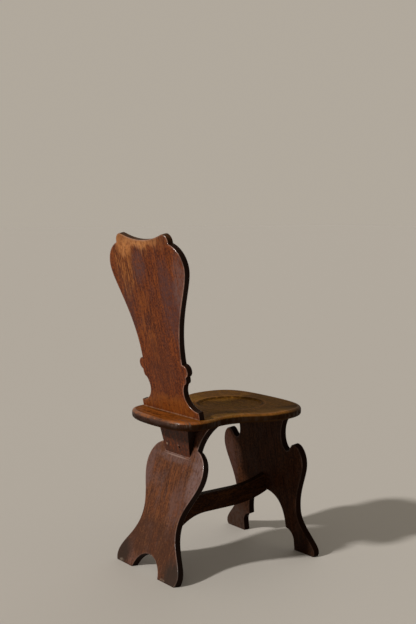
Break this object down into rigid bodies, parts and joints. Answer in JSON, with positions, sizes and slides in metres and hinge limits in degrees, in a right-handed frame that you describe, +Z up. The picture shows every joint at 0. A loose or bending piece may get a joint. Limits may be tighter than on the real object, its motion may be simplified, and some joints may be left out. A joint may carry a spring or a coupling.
{
  "type": "hall chair",
  "caption": "Hall chair of shaped boards: leaning cartouche back, dished seat, splayed leg boards front and rear, and a serpentine stretcher.",
  "frame": {"origin": "on the floor, at the middle of the chair's width and of its overall depth", "axes": "+Z up, -Y towards the front, so a sitter faces -Y, and +X is the sitter's left"},
  "size_m": [0.413, 0.4969, 0.9641],
  "materials": {
    "back": "waxed semi-gloss, worn paler on the arrises",
    "seat": "waxed semi-gloss, rubbed at the dish",
    "rear_leg": "waxed satin, worn paler on the arrises",
    "front_leg": "waxed satin, scuffed at the feet",
    "stretcher": "dull satin",
    "pegs": "bare end grain",
    "blocks": "dull, unpolished"
  },
  "bodies": {
    "root": {"back_board": "back", "seat": "seat", "rear_leg_board": "rear_leg", "front_leg_board": "front_leg", "stretcher": "stretcher", "tail_pegs": "pegs", "front_glue_blocks": "blocks", "rear_glue_blocks": "blocks"}
  },
  "joints": []
}
